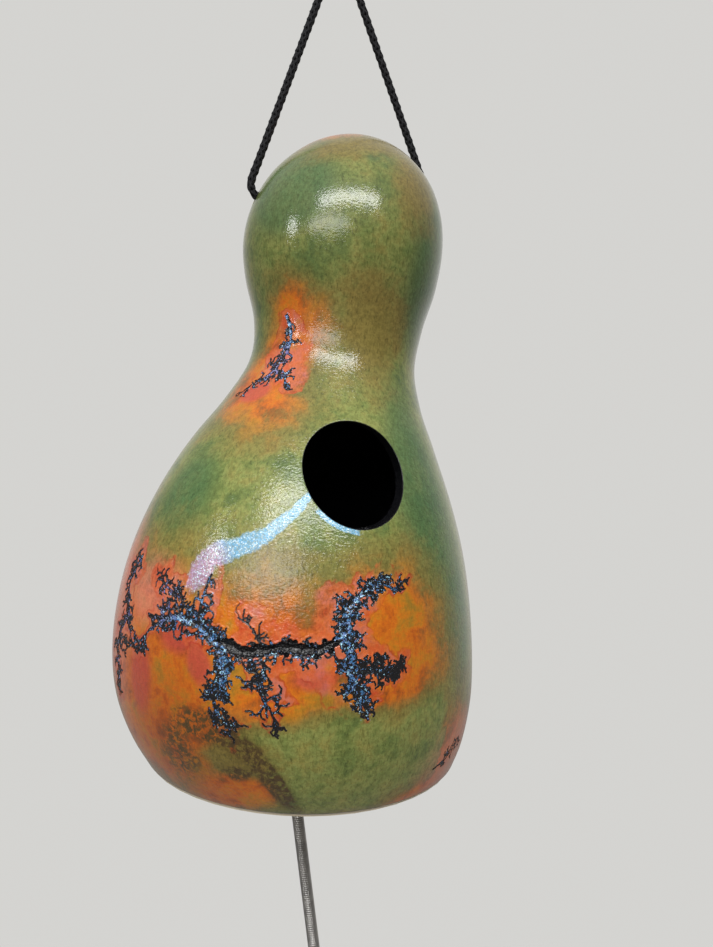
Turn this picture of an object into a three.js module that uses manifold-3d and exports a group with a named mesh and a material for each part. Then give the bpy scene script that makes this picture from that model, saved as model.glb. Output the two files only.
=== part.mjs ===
// Thunder gourd: a hollow bottle gourd, sawn off flat at the bottom, with a thin head glued over
// the cut. A long steel spring hangs from the middle of the head and the head hums when it shakes.
// A round hole in the side lets the sound out, and a black cord through the top bulb hangs it up.
// Millimetres, +Z up. The origin is the point where the cord's loop bears on its hook.
// The sound hole faces -Y, and the two cord holes lie on one line along X.
import * as THREE from "three";
import { mergeVertices } from "three/addons/utils/BufferGeometryUtils.js";
import Module from "manifold-3d";

const wasm = await Module();
wasm.setup();

// Driving sizes
const GOURD_HEIGHT = 304; // sawn rim to crown
const GOURD_WIDTH = 174; // across the belly
const WALL = 7; // dried shell
const HOOK_TO_CROWN = 84; // how far the crown hangs below the hook
const SOUND_HOLE_DIAMETER = 44.5;
const CORD_DIAMETER = 3.5;
const CORD_HOLE_DIAMETER = 7.4;
const KNOT_DIAMETER = 10;
const KNOT_LENGTH = 7.5;
const KNOT_TAIL = 5;
const HEAD_THICKNESS = 0.8;
const HEAD_INSET = 1; // the head is trimmed this far inside the rim's edge
const WASHER_DIAMETER = 24;
const WASHER_THICKNESS = 1.2;
const SPRING_DIAMETER = 6; // outside of the coil
const WIRE_DIAMETER = 1.1;
const SPRING_LENGTH = 260; // pin to tip, along the spring
const SPRING_CURLS = 92;
const PIN_DIAMETER = 2.4;
const PIN_LENGTH = 18;
const GAP = 0.3; // between pieces that touch

// Gourd outline: height as a share of GOURD_HEIGHT, radius as a share of half GOURD_WIDTH
const OUTLINE = [
  [0, 0.868], [0.039, 0.931], [0.098, 0.986], [0.16, 1], [0.246, 0.977], [0.328, 0.919],
  [0.41, 0.82], [0.492, 0.685], [0.557, 0.561], [0.623, 0.477], [0.689, 0.489], [0.754, 0.55],
  [0.813, 0.576], [0.866, 0.554], [0.918, 0.478], [0.961, 0.347], [0.984, 0.224], [0.996, 0.109],
  [1, 0],
];
// The gourd grew a little crooked: height share, and sideways shift of its middle as a share of
// GOURD_WIDTH, counted from the line that drops from the hook
const LEAN = [
  [0, 0.004], [0.1, -0.021], [0.23, -0.032], [0.46, -0.013], [0.66, 0.045], [0.82, 0.051],
  [1, 0.075],
];
const SOUND_HOLE_HEIGHT = 0.446 * GOURD_HEIGHT;
const CORD_HOLE_HEIGHT = 0.875 * GOURD_HEIGHT;
const SPRING_OFFSET = -0.044 * GOURD_WIDTH; // the head was drilled a little off its middle
const SPRING_LEAN = THREE.MathUtils.degToRad(10.2); // towards +X where it leaves the head
const TIP_LEAN = THREE.MathUtils.degToRad(3); // its own weight bends it towards plumb
const SPRING_STRAIGHT = 0.5 * SPRING_LENGTH; // the bend starts here
const SWING = THREE.MathUtils.degToRad(25); // widest lean the hole in the head leaves room for
const BEND_RADIUS = 2 * CORD_DIAMETER; // middle line of the cord at the hook and at both holes

const AROUND = 48; // facets round the gourd
const LEVELS = 34; // rings up the gourd
const CUT_PAST = 2; // how far a cut runs past the piece it opens
const RIM_Z = -HOOK_TO_CROWN - GOURD_HEIGHT;

function material(color, roughness, metalness) {
  return new THREE.MeshStandardMaterial({ color, roughness, metalness });
}

function toSolid(geometry) {
  const bare = geometry.clone();
  bare.deleteAttribute("normal");
  bare.deleteAttribute("uv");
  const merged = mergeVertices(bare, 1e-4);
  return new wasm.Manifold(new wasm.Mesh({
    numProp: 3,
    vertProperties: new Float32Array(merged.attributes.position.array),
    triVerts: new Uint32Array(merged.index.array),
  }));
}

function toGeometry(solid) {
  const mesh = solid.getMesh();
  const geometry = new THREE.BufferGeometry();
  geometry.setAttribute("position", new THREE.BufferAttribute(mesh.vertProperties, 3));
  geometry.setIndex(new THREE.BufferAttribute(mesh.triVerts, 1));
  const flat = geometry.toNonIndexed();
  flat.computeVertexNormals();
  return flat;
}

// Shell: level circles stacked up the outline, each shifted by the lean
const outlineCurve = new THREE.CatmullRomCurve3(
  OUTLINE.map(([h, r]) => new THREE.Vector3(r * GOURD_WIDTH / 2, 0, h * GOURD_HEIGHT)),
  false, "centripetal",
);
const leanCurve = new THREE.CatmullRomCurve3(
  LEAN.map(([h, x]) => new THREE.Vector3(x * GOURD_WIDTH, 0, h * GOURD_HEIGHT)),
  false, "centripetal",
);
const outlineFine = outlineCurve.getSpacedPoints(600);
const leanFine = leanCurve.getSpacedPoints(300);

function lookUp(points, height) {
  let i = 1;
  while (i < points.length - 1 && points[i].z < height) i++;
  const a = points[i - 1];
  const b = points[i];
  const t = (height - a.z) / Math.max(b.z - a.z, 1e-9);
  return a.x + (b.x - a.x) * THREE.MathUtils.clamp(t, -1, 1);
}

const radiusAt = (height) => lookUp(outlineFine, height);
const middleAt = (height) => lookUp(leanFine, height);

function stackedBody(levels) {
  const position = [];
  const index = [];
  const rings = levels.map(({ height, radius }) => {
    const start = position.length / 3;
    const count = radius > 0 ? AROUND : 1;
    for (let i = 0; i < count; i++) {
      const a = 2 * Math.PI * i / AROUND;
      position.push(middleAt(height) + radius * Math.cos(a), radius * Math.sin(a), RIM_Z + height);
    }
    return { start, count };
  });
  const centre = position.length / 3;
  position.push(middleAt(levels[0].height), 0, RIM_Z + levels[0].height);
  for (let i = 0; i < AROUND; i++) {
    const j = (i + 1) % AROUND;
    index.push(centre, rings[0].start + j, rings[0].start + i);
  }
  for (let k = 1; k < rings.length; k++) {
    const low = rings[k - 1].start;
    const high = rings[k];
    for (let i = 0; i < AROUND; i++) {
      const j = (i + 1) % AROUND;
      if (high.count === 1) {
        index.push(low + i, low + j, high.start);
      } else {
        index.push(low + i, low + j, high.start + j);
        index.push(low + i, high.start + j, high.start + i);
      }
    }
  }
  const geometry = new THREE.BufferGeometry();
  geometry.setAttribute("position", new THREE.Float32BufferAttribute(position, 3));
  geometry.setIndex(index);
  return geometry;
}

const outer = outlineCurve.getSpacedPoints(LEVELS).map((p, i) => ({
  height: p.z,
  radius: i === LEVELS ? 0 : p.x,
}));
// The hollow is the same outline, one wall further in, and runs out through the sawn base
const inner = [];
for (let i = 0; i <= LEVELS; i++) {
  const p = outlineCurve.getPointAt(i / LEVELS);
  const t = outlineCurve.getTangentAt(i / LEVELS);
  const radius = p.x - WALL * t.z;
  const height = p.z + WALL * t.x;
  if (radius > 0 && height < GOURD_HEIGHT - WALL) inner.push({ height, radius });
}
const flare = (inner[1].radius - inner[0].radius) / (inner[1].height - inner[0].height);
inner.unshift({ height: -CUT_PAST, radius: inner[0].radius - flare * (inner[0].height + CUT_PAST) });
inner.push({ height: GOURD_HEIGHT - WALL, radius: 0 });

// The sound hole is cut level, from inside the belly out to the front
const soundBoreLength = GOURD_WIDTH / 2;
const soundBore = new THREE.CylinderGeometry(
  SOUND_HOLE_DIAMETER / 2, SOUND_HOLE_DIAMETER / 2, soundBoreLength, AROUND,
);
soundBore.translate(
  middleAt(SOUND_HOLE_HEIGHT),
  -soundBoreLength / 2 - SOUND_HOLE_DIAMETER / 2,
  RIM_Z + SOUND_HOLE_HEIGHT,
);
// Both cord holes are one bore, straight through the top bulb
const cordBore = new THREE.CylinderGeometry(
  CORD_HOLE_DIAMETER / 2, CORD_HOLE_DIAMETER / 2, GOURD_WIDTH, 16,
);
cordBore.rotateZ(Math.PI / 2);
cordBore.translate(middleAt(CORD_HOLE_HEIGHT), 0, RIM_Z + CORD_HOLE_HEIGHT);

const shellSolid = toSolid(stackedBody(outer))
  .subtract(toSolid(stackedBody(inner)))
  .subtract(toSolid(soundBore))
  .subtract(toSolid(cordBore));
const gourdShell = new THREE.Mesh(toGeometry(shellSolid), material(0x5f6b3a, 0.25, 0));
gourdShell.name = "gourd_shell";

// Head and washer: flat discs with one hole each for the spring
const headMiddle = middleAt(0);
const springX = headMiddle + SPRING_OFFSET;
const washerTop = RIM_Z + WASHER_THICKNESS;
const pinZ = washerTop + GAP + PIN_DIAMETER / 2;
const headBottom = RIM_Z - GAP - HEAD_THICKNESS;
const holeRadius = (pinZ - headBottom) * Math.tan(SWING)
  + SPRING_DIAMETER / 2 / Math.cos(SWING) + GAP;

function disc(radius, x, thickness, bottom) {
  const shape = new THREE.Shape();
  shape.absarc(x, 0, radius, 0, 2 * Math.PI, false);
  const hole = new THREE.Path();
  hole.absarc(springX, 0, holeRadius, 0, 2 * Math.PI, true);
  shape.holes.push(hole);
  const geometry = new THREE.ExtrudeGeometry(shape, {
    depth: thickness, bevelEnabled: false, curveSegments: 24,
  });
  geometry.translate(0, 0, bottom);
  return geometry;
}

const drumHead = new THREE.Mesh(
  disc(radiusAt(0) - HEAD_INSET, headMiddle, HEAD_THICKNESS, headBottom),
  material(0xcfc6ae, 0.5, 0),
);
drumHead.name = "drum_head";

const headWasher = new THREE.Mesh(
  disc(WASHER_DIAMETER / 2, springX, WASHER_THICKNESS, RIM_Z),
  material(0x9a9c9e, 0.35, 1),
);
headWasher.name = "head_washer";

// Pin: a plain rod that lies across the washer inside the gourd and carries the spring's eye
const PIN_SIDES = 16;
const pinGeometry = new THREE.CylinderGeometry(
  PIN_DIAMETER / 2, PIN_DIAMETER / 2, PIN_LENGTH, PIN_SIDES,
);
pinGeometry.translate(springX, 0, pinZ);
const springPin = new THREE.Mesh(pinGeometry, material(0x8d8f92, 0.3, 1));
springPin.name = "spring_pin";

// Spring: one wire, an eye round the pin and then the coil along a middle line in the XZ plane
const coilRadius = (SPRING_DIAMETER - WIRE_DIAMETER) / 2;
const eyeRadius = coilRadius;
const coilStart = eyeRadius + 1.4 * WIRE_DIAMETER; // below the eye, clear of it

// Lean of the spring's middle line at a distance s below the pin
function springAngle(s) {
  const t = THREE.MathUtils.smoothstep(s, SPRING_STRAIGHT, SPRING_LENGTH);
  return THREE.MathUtils.lerp(SPRING_LEAN, TIP_LEAN, t);
}

// Place and lean of the middle line there, added up in short steps
function springMiddle(s) {
  const steps = 60;
  let x = springX;
  let z = pinZ;
  for (let i = 0; i < steps; i++) {
    const a = springAngle((i + 0.5) * s / steps);
    x += Math.sin(a) * s / steps;
    z -= Math.cos(a) * s / steps;
  }
  return { x, z, a: springAngle(s) };
}

function springPoint(s, across, y) {
  const m = springMiddle(s);
  return new THREE.Vector3(m.x + across * Math.cos(m.a), y, m.z + across * Math.sin(m.a));
}

const wirePoints = [];
// The eye: most of a circle round the pin, from its open end round to the side the coil starts on
const EYE_STEPS = 9;
const EYE_TURN = THREE.MathUtils.degToRad(225);
for (let i = 0; i <= EYE_STEPS; i++) {
  const a = EYE_TURN * (1 - i / EYE_STEPS);
  const p = springPoint(0, eyeRadius * Math.cos(a), 0);
  const up = eyeRadius * Math.sin(a);
  p.x -= up * Math.sin(SPRING_LEAN);
  p.z += up * Math.cos(SPRING_LEAN);
  wirePoints.push(p);
}
// Two points lead the wire down from the eye and round into the coil
wirePoints.push(springPoint(coilStart - 1.3 * WIRE_DIAMETER, coilRadius, 0));
wirePoints.push(springPoint(coilStart - 0.3 * WIRE_DIAMETER, 0.97 * coilRadius, 0.25 * coilRadius));
// The coil: eight steps to a curl
const CURL_STEPS = 8;
const pitch = (SPRING_LENGTH - coilStart - WIRE_DIAMETER) / SPRING_CURLS;
for (let i = 1; i <= SPRING_CURLS * CURL_STEPS; i++) {
  const a = 2 * Math.PI * i / CURL_STEPS;
  const s = coilStart + pitch * i / CURL_STEPS;
  wirePoints.push(springPoint(s, coilRadius * Math.cos(a), coilRadius * Math.sin(a)));
}
// Both ends run straight for one wire diameter
const firstRun = wirePoints[0].clone().sub(wirePoints[1]).setLength(WIRE_DIAMETER);
wirePoints.unshift(wirePoints[0].clone().add(firstRun));
const last = wirePoints.length - 1;
const lastRun = wirePoints[last].clone().sub(wirePoints[last - 1]).setLength(WIRE_DIAMETER);
wirePoints.push(wirePoints[last].clone().add(lastRun));

// A closed tube with flat ends; its section turns as little as it can from point to point
function tube(points, radius, sides) {
  const position = [];
  const index = [];
  const n = points.length;
  const tangents = points.map((p, i) => points[Math.min(i + 1, n - 1)].clone()
    .sub(points[Math.max(i - 1, 0)]).normalize());
  let normal = new THREE.Vector3(0, 1, 0);
  points.forEach((p, i) => {
    const t = tangents[i];
    normal = normal.clone().sub(t.clone().multiplyScalar(normal.dot(t))).normalize();
    const binormal = new THREE.Vector3().crossVectors(t, normal);
    for (let k = 0; k < sides; k++) {
      const a = 2 * Math.PI * k / sides;
      const v = p.clone().addScaledVector(normal, radius * Math.cos(a))
        .addScaledVector(binormal, radius * Math.sin(a));
      position.push(v.x, v.y, v.z);
    }
  });
  for (let i = 1; i < n; i++) {
    for (let k = 0; k < sides; k++) {
      const a = (i - 1) * sides + k;
      const b = (i - 1) * sides + (k + 1) % sides;
      index.push(a, b, b + sides, a, b + sides, a + sides);
    }
  }
  for (let k = 1; k < sides - 1; k++) {
    index.push(0, k + 1, k);
    index.push((n - 1) * sides, (n - 1) * sides + k, (n - 1) * sides + k + 1);
  }
  const geometry = new THREE.BufferGeometry();
  geometry.setAttribute("position", new THREE.Float32BufferAttribute(position, 3));
  geometry.setIndex(index);
  geometry.computeVertexNormals();
  return geometry;
}

// Neighbouring points are left out: the same wire half a curl on is the nearest that counts
let leastGap = Infinity;
for (let i = 0; i < wirePoints.length; i++) {
  for (let j = i + CURL_STEPS / 2 + 2; j < Math.min(i + 4 * CURL_STEPS, wirePoints.length); j++) {
    leastGap = Math.min(leastGap, wirePoints[i].distanceTo(wirePoints[j]) - WIRE_DIAMETER);
  }
}
console.log(`least gap of the spring's wire to itself: ${leastGap.toFixed(2)} mm`);

const spring = new THREE.Mesh(
  tube(wirePoints, WIRE_DIAMETER / 2, 5),
  material(0x8a8c8f, 0.35, 1),
);
spring.name = "spring";

// Cord: from a stopper knot inside the bulb out through one hole, up round the hook, down again
// and in through the other hole to its own knot. Every bend has the same radius, so each leg is
// the straight run between two equal circles, one at its hole and one at the hook.
const cordRadius = CORD_DIAMETER / 2;
const holeZ = RIM_Z + CORD_HOLE_HEIGHT;
const hookZ = cordRadius - BEND_RADIUS; // middle of the bend round the hook
// The bend starts inside the hole: the cord's middle line comes as near to the shell as the top
// edge of the hole's outer mouth lets it
const cordHoleRadius = CORD_HOLE_DIAMETER / 2;
const lipIn = radiusAt(CORD_HOLE_HEIGHT) - radiusAt(CORD_HOLE_HEIGHT + cordHoleRadius);
const lipReach = BEND_RADIUS - cordRadius - 2 * GAP;
const lipAcross = Math.sqrt(Math.max(lipReach ** 2 - (BEND_RADIUS - cordHoleRadius) ** 2, 0));
const standOff = BEND_RADIUS - lipIn - lipAcross;
const BEND_STEPS = 6;
const RUN_STEP = 2.6 * CORD_DIAMETER;

function onCircle(x, z, angle) {
  return new THREE.Vector3(
    x + BEND_RADIUS * Math.cos(angle), 0, z + BEND_RADIUS * Math.sin(angle),
  );
}

// The knot bears on the top edge of its hole's inner mouth, where the wall leans furthest in
function knotFace(side) {
  const height = CORD_HOLE_HEIGHT + 0.4 * KNOT_DIAMETER;
  let k = 1;
  while (inner[k].height < height) k++;
  const t = (height - inner[k - 1].height) / (inner[k].height - inner[k - 1].height);
  const radius = THREE.MathUtils.lerp(inner[k - 1].radius, inner[k].radius, t);
  return middleAt(height) + side * (radius - GAP);
}

// Points of one leg, from its knot to where it meets the hook; side is -1 on the left, 1 on the right
function leg(side) {
  const shellX = middleAt(CORD_HOLE_HEIGHT) + side * radiusAt(CORD_HOLE_HEIGHT);
  const turnX = shellX + side * (standOff - BEND_RADIUS);
  const turnZ = holeZ + BEND_RADIUS;
  const lean = Math.atan2(Math.abs(turnX), hookZ - turnZ);
  const points = [new THREE.Vector3(knotFace(side) + side * GAP, 0, holeZ)];
  for (let i = 0; i <= BEND_STEPS; i++) {
    const turned = (Math.PI / 2 + lean) * i / BEND_STEPS;
    points.push(onCircle(turnX, turnZ, -Math.PI / 2 + side * turned));
  }
  const start = points[points.length - 1];
  const end = onCircle(0, hookZ, Math.PI / 2 - side * (Math.PI / 2 - lean));
  const runs = Math.round(start.distanceTo(end) / RUN_STEP);
  for (let i = 1; i <= runs; i++) points.push(start.clone().lerp(end, i / runs));
  return { points, meets: Math.PI / 2 - side * (Math.PI / 2 - lean) };
}

const left = leg(-1);
const right = leg(1);
const over = [];
for (let i = 1; i < BEND_STEPS; i++) {
  const angle = THREE.MathUtils.lerp(left.meets, right.meets, i / BEND_STEPS);
  over.push(onCircle(0, hookZ, angle));
}
const cordPoints = [...left.points, ...over, ...right.points.reverse()];
const cordPath = new THREE.CatmullRomCurve3(cordPoints, false, "centripetal");
// The steps follow the points listed: short in the bends, long on the straight runs
cordPath.getSpacedPoints = cordPath.getPoints;
cordPath.getTangentAt = cordPath.getTangent;
const CORD_SIDES = 8;
const cordSection = new THREE.Shape(Array.from({ length: CORD_SIDES }, (_, i) => {
  const a = 2 * Math.PI * i / CORD_SIDES;
  return new THREE.Vector2(cordRadius * Math.cos(a), cordRadius * Math.sin(a));
}));
const hangingCord = new THREE.Mesh(
  new THREE.ExtrudeGeometry(cordSection, {
    steps: cordPoints.length - 1, extrudePath: cordPath, bevelEnabled: false,
  }),
  material(0x0c0c0e, 0.8, 0),
);
hangingCord.name = "hanging_cord";

// Knots: a tight round knot with a short tail, turned about the hole's line
function knot(name, side) {
  const r = KNOT_DIAMETER / 2;
  const tail = KNOT_LENGTH + KNOT_TAIL;
  const profile = [
    [0, 0], [0.55 * r, 0], [0.9 * r, 0.12 * KNOT_LENGTH], [r, 0.4 * KNOT_LENGTH],
    [0.95 * r, 0.72 * KNOT_LENGTH], [0.65 * r, 0.96 * KNOT_LENGTH], [cordRadius, KNOT_LENGTH],
    [cordRadius, tail], [0, tail],
  ].map(([x, y]) => new THREE.Vector2(x, y));
  const mesh = new THREE.Mesh(new THREE.LatheGeometry(profile, 16), material(0x0c0c0e, 0.8, 0));
  mesh.name = name;
  mesh.rotation.z = side * Math.PI / 2;
  mesh.position.set(knotFace(side), 0, holeZ);
  return mesh;
}

const thunderGourd = new THREE.Group();
thunderGourd.add(hangingCord, knot("knot_left", -1), knot("knot_right", 1));
const body = new THREE.Group();
body.add(gourdShell, drumHead, headWasher);
thunderGourd.add(body);
const hanger = new THREE.Group();
hanger.add(springPin, spring);
body.add(hanger);

export default thunderGourd;
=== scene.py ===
import math
import bpy
import numpy as np
from mathutils import Matrix, Vector
from mathutils.kdtree import KDTree


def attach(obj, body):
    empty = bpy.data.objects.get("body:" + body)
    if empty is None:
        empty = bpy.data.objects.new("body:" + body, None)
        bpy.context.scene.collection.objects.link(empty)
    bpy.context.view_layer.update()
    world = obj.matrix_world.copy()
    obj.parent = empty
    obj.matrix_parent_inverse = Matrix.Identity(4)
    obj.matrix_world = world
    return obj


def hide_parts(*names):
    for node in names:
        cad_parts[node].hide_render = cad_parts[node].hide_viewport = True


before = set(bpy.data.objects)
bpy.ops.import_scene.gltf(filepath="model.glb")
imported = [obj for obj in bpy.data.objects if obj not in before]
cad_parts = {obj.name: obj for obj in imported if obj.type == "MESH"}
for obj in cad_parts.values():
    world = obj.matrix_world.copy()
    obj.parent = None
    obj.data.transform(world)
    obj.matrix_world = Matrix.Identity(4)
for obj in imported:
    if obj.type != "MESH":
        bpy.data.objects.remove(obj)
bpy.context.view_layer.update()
MM = 0.001

# View: a phone camera level with the sound hole and a little to the left, about 35 cm away.
# It is turned 3 degrees, so the instrument hangs slightly askew in the picture.
CAMERA_PLACE = Vector((-0.1041, -0.3297, -0.2524))
CAMERA_AZIMUTH = math.radians(21)
CAMERA_ROLL = math.radians(3)
LENS = 26.04
SENSOR_WIDTH = 36
NEAREST_SEEN = 0.01
camera_data = bpy.data.cameras.new("camera")
camera_data.sensor_width = SENSOR_WIDTH
camera_data.lens = LENS
camera_data.clip_start = NEAREST_SEEN
camera = bpy.data.objects.new("camera", camera_data)
bpy.context.scene.collection.objects.link(camera)
level_right = Vector((math.cos(CAMERA_AZIMUTH), -math.sin(CAMERA_AZIMUTH), 0))
forward = Vector((math.sin(CAMERA_AZIMUTH), math.cos(CAMERA_AZIMUTH), 0))
camera_right = level_right * math.cos(CAMERA_ROLL) + Vector((0, 0, math.sin(CAMERA_ROLL)))
camera_up = camera_right.cross(forward)
camera.matrix_world = Matrix((
    (camera_right.x, camera_up.x, -forward.x, CAMERA_PLACE.x),
    (camera_right.y, camera_up.y, -forward.y, CAMERA_PLACE.y),
    (camera_right.z, camera_up.z, -forward.z, CAMERA_PLACE.z),
    (0, 0, 0, 1),
))
bpy.context.scene.camera = camera
bpy.context.scene.view_settings.view_transform = "Standard"


# Hanging cord: braided polyester, 3.5 mm, from a knot inside the bulb out through one hole,
# over its hook and back in through the other. Eight strands cross over a plain core.
GOURD_HEIGHT = 304
GOURD_WIDTH = 174
WALL = 7
HOOK_TO_CROWN = 84
RIM_Z = -HOOK_TO_CROWN - GOURD_HEIGHT
CORD_RADIUS = 1.75
CORD_HOLE_RADIUS = 3.7
CORD_HOLE_HEIGHT = 0.875 * GOURD_HEIGHT
CORD_GAP = 0.3
BEND_RADIUS = 4 * CORD_RADIUS
BEND_STEPS = 6
ROUTE_SPACING = 5.2 * CORD_RADIUS
KNOT_DIAMETER = 10
CORD_STEP = 0.6
STRANDS = 8
STRAND_RADIUS = 0.68
STRAND_SINK = 0.68 * STRAND_RADIUS
WEAVE_DEPTH = 0.14
BRAID_PITCH = 17.5

# Outline of the gourd: height share, and radius as a share of half the width
OUTLINE = (
    (0, 0.868), (0.039, 0.931), (0.098, 0.986), (0.16, 1), (0.246, 0.977), (0.328, 0.919),
    (0.41, 0.82), (0.492, 0.685), (0.557, 0.561), (0.623, 0.477), (0.689, 0.489),
    (0.754, 0.55), (0.813, 0.576), (0.866, 0.554), (0.918, 0.478), (0.961, 0.347),
    (0.984, 0.224), (0.996, 0.109), (1, 0),
)
# Its crooked growth: height share, and sideways shift of its middle as a share of the width
LEAN = (
    (0, 0.004), (0.1, -0.021), (0.23, -0.032), (0.46, -0.013), (0.66, 0.045),
    (0.82, 0.051), (1, 0.075),
)


def smooth_line(points, steps=24):
    """A curve through the points, with corners spaced by the root of their distance."""
    points = np.array(points, float)
    ends = [2 * points[0] - points[1], *points, 2 * points[-1] - points[-2]]
    line = []
    for p0, p1, p2, p3 in zip(ends, ends[1:], ends[2:], ends[3:]):
        d0, d1, d2 = (math.sqrt(np.linalg.norm(b - a)) for a, b in ((p0, p1), (p1, p2), (p2, p3)))
        leave = ((p1 - p0) / d0 - (p2 - p0) / (d0 + d1) + (p2 - p1) / d1) * d1
        reach = ((p2 - p1) / d1 - (p3 - p1) / (d1 + d2) + (p3 - p2) / d2) * d1
        for t in np.arange(steps) / steps:
            line.append(
                p1 + leave * t + (3 * (p2 - p1) - 2 * leave - reach) * t ** 2
                + (2 * (p1 - p2) + leave + reach) * t ** 3
            )
    line.append(points[-1])
    return np.array(line)


outline = smooth_line([(r * GOURD_WIDTH / 2, h * GOURD_HEIGHT) for h, r in OUTLINE])
lean = smooth_line([(x * GOURD_WIDTH, h * GOURD_HEIGHT) for h, x in LEAN])


def radius_at(height):
    """The gourd's outside radius at a height above its rim."""
    return np.interp(height, outline[:, 1], outline[:, 0])


def middle_at(height):
    """How far the gourd's middle lies to the right at a height above its rim."""
    return np.interp(height, lean[:, 1], lean[:, 0])


def new_piece(name, points, faces):
    """A smooth-shaded mesh object from points in millimetres."""
    mesh = bpy.data.meshes.new(name)
    mesh.from_pydata(np.asarray(points) * MM, [], faces)
    mesh.shade_smooth()
    piece = bpy.data.objects.new(name, mesh)
    bpy.context.scene.collection.objects.link(piece)
    return piece


def tube_faces(rows, sides):
    """Faces of a closed tube whose points run round it, row after row."""
    faces = []
    for i in range(rows - 1):
        for k in range(sides):
            a, b = i * sides + k, i * sides + (k + 1) % sides
            faces.append((a, b, b + sides, a + sides))
    last = (rows - 1) * sides
    return faces + [tuple(range(sides))[::-1], tuple(range(last, last + sides))]


def tube(path, radius, sides):
    """Points and faces of a closed round tube along a path."""
    path = np.asarray(path, float)
    ahead = np.gradient(path, axis=0)
    ahead /= np.linalg.norm(ahead, axis=1)[:, None]
    side = np.array((0.0, 1.0, 0.0))
    rings = []
    for p, t in zip(path, ahead):
        side = side - t * side.dot(t)
        side /= np.linalg.norm(side)
        up = np.cross(t, side)
        for k in range(sides):
            a = 2 * math.pi * k / sides
            rings.append(p + radius * (side * math.cos(a) + up * math.sin(a)))
    return rings, tube_faces(len(path), sides)


def joined(parts):
    """Points and faces of several bodies as one."""
    points, faces = [], []
    for some_points, some_faces in parts:
        start = len(points)
        points.extend(some_points)
        faces.extend(tuple(start + i for i in face) for face in some_faces)
    return points, faces


hole_z = RIM_Z + CORD_HOLE_HEIGHT
hook_z = CORD_RADIUS - BEND_RADIUS
lip_in = radius_at(CORD_HOLE_HEIGHT) - radius_at(CORD_HOLE_HEIGHT + CORD_HOLE_RADIUS)
lip_reach = BEND_RADIUS - CORD_RADIUS - 2 * CORD_GAP
stand_off = BEND_RADIUS - lip_in - math.sqrt(lip_reach ** 2 - (BEND_RADIUS - CORD_HOLE_RADIUS) ** 2)
knot_height = CORD_HOLE_HEIGHT + 0.4 * KNOT_DIAMETER
# The wall is measured square to the surface, so it is a little thicker along a level line
wall_slope = (radius_at(knot_height + 1) - radius_at(knot_height - 1)) / 2
knot_reach = radius_at(knot_height) - WALL * math.hypot(1, wall_slope) - CORD_GAP


def on_circle(x, z, angle):
    """A point of a bend round the middle (x, z)."""
    return (x + BEND_RADIUS * math.cos(angle), 0, z + BEND_RADIUS * math.sin(angle))


def cord_leg(side):
    """Route points from the knot on that side (-1 left, 1 right) up to the hook."""
    knot_x = middle_at(knot_height) + side * knot_reach
    turn_x = middle_at(CORD_HOLE_HEIGHT) + side * (
        radius_at(CORD_HOLE_HEIGHT) + stand_off - BEND_RADIUS
    )
    turn_z = hole_z + BEND_RADIUS
    slant = math.atan2(abs(turn_x), hook_z - turn_z)
    route = [(knot_x + side * CORD_GAP, 0, hole_z)]
    for i in range(BEND_STEPS + 1):
        bent = side * (math.pi / 2 + slant) * i / BEND_STEPS
        route.append(on_circle(turn_x, turn_z, bent - math.pi / 2))
    meets = math.pi / 2 - side * (math.pi / 2 - slant)
    start, end = np.array(route[-1]), np.array(on_circle(0, hook_z, meets))
    runs = round(np.linalg.norm(end - start) / ROUTE_SPACING)
    route.extend(start + (end - start) * i / runs for i in range(1, runs + 1))
    return route, meets, knot_x


left_route, left_meets, left_knot_x = cord_leg(-1)
right_route, right_meets, right_knot_x = cord_leg(1)
over_hook = [
    on_circle(0, hook_z, left_meets + (right_meets - left_meets) * i / BEND_STEPS)
    for i in range(1, BEND_STEPS)
]
cord_route = np.array([*left_route, *over_hook, *right_route[::-1]], float)


def even_line(points, step):
    """The smooth line through the points, cut into equal steps."""
    line = smooth_line(points, 12)
    far = np.concatenate([[0], np.cumsum(np.linalg.norm(np.diff(line, axis=0), axis=1))])
    marks = np.linspace(0, far[-1], round(far[-1] / step) + 1)
    return np.stack([np.interp(marks, far, line[:, k]) for k in range(3)], axis=1), marks


cord_line, cord_marks = even_line(cord_route, CORD_STEP)
ahead = np.gradient(cord_line, axis=0)
ahead /= np.linalg.norm(ahead, axis=1)[:, None]
across = np.tile((0.0, 1.0, 0.0), (len(cord_line), 1))
upward = np.cross(ahead, across)
braid = [tube(cord_line, CORD_RADIUS - STRAND_RADIUS, 12)]
for k in range(STRANDS):
    way = 1 if k % 2 else -1
    turn = way * 2 * math.pi * cord_marks / BRAID_PITCH + 2 * math.pi * k / STRANDS
    over_and_under = turn * STRANDS / 2 + (math.pi if k % 2 else 0)
    reach = CORD_RADIUS - STRAND_SINK + WEAVE_DEPTH * np.cos(over_and_under)
    strand = (
        cord_line + across * (reach * np.cos(turn))[:, None]
        + upward * (reach * np.sin(turn))[:, None]
    )
    braid.append(tube(strand, STRAND_RADIUS, 6))
hanging_cord = new_piece("hanging_cord_braid", *joined(braid))


def wire_up(tree, kind, inputs=None, **settings):
    """One shader node, with its settings and with values or links on its inputs."""
    made = tree.nodes.new(kind)
    for key, value in settings.items():
        setattr(made, key, value)
    for key, value in (inputs or {}).items():
        socket = made.inputs[key]
        if isinstance(value, bpy.types.NodeSocket):
            tree.links.new(value, socket)
        else:
            socket.default_value = value
    return made


def new_finish(name, **values):
    """A material, with its node tree, its Principled shader and its coordinates."""
    finish = bpy.data.materials.new(name)
    finish.use_nodes = True
    shader = finish.node_tree.nodes["Principled BSDF"]
    for key, value in values.items():
        shader.inputs[key.replace("_", " ")].default_value = value
    coordinates = finish.node_tree.nodes.new("ShaderNodeTexCoord")
    return finish, finish.node_tree, shader, coordinates


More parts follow.
